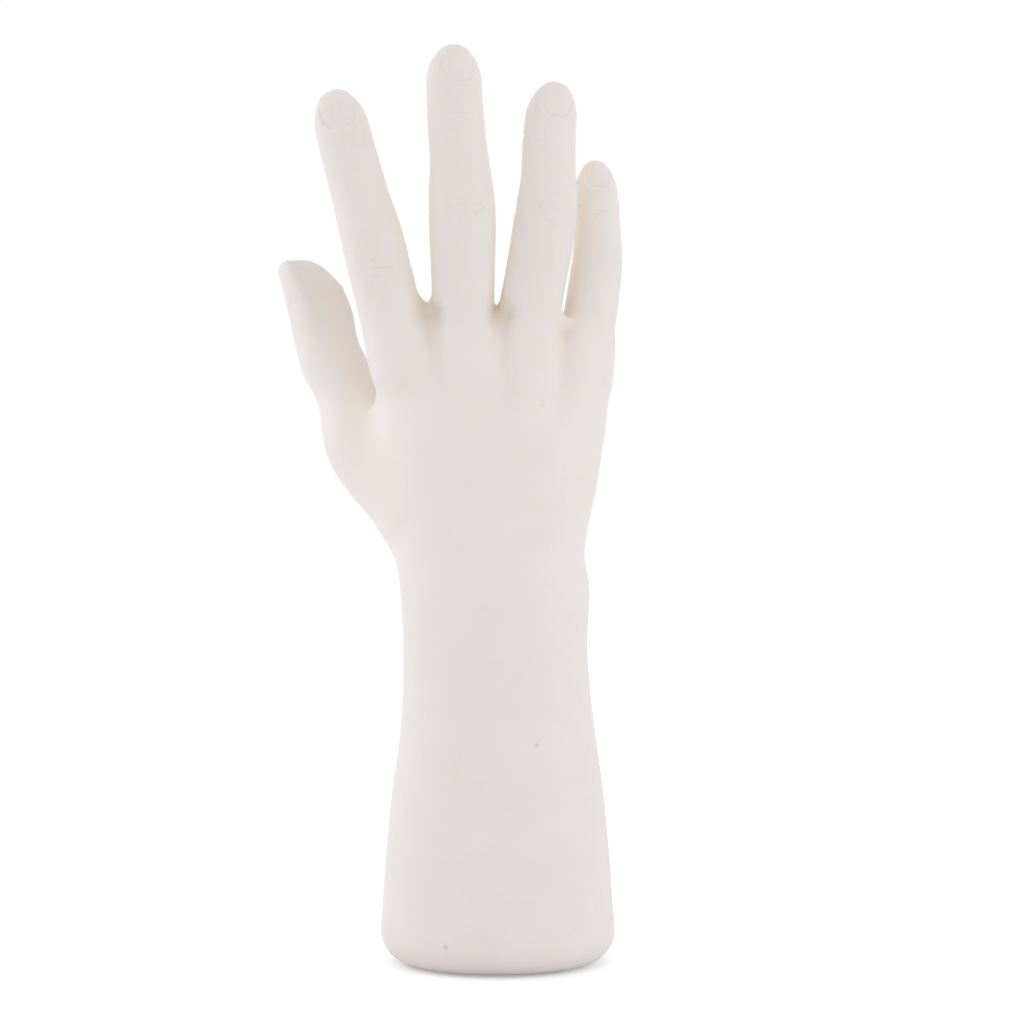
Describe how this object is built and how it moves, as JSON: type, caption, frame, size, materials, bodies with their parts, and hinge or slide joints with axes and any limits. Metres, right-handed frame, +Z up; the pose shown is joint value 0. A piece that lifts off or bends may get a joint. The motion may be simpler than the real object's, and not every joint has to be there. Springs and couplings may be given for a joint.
{
  "type": "display mannequin hand",
  "caption": "Upright right display hand, fingers up and slightly spread, hollow moulded skin flaring to a rounded, weighted foot.",
  "frame": {"origin": "centre of the foot's flat underside, on the face of the base pad", "axes": "+Z up along the forearm to the fingertips; the back of the hand faces -Y, the palm +Y, the thumb -X"},
  "size_m": [0.1171, 0.0666, 0.3053],
  "materials": {
    "skin": "matte",
    "foam": "matte",
    "ballast": "matte",
    "cap": "satin",
    "pad": "matte",
    "screws": "satin"
  },
  "bodies": {
    "root": {"hand_skin": "skin", "foam_core": "foam", "ballast_weight": "ballast", "foot_cap": "cap", "base_pad": "pad", "cap_screw_left": "screws", "cap_screw_right": "screws", "cap_washer_left": "screws", "cap_washer_right": "screws"}
  },
  "joints": []
}
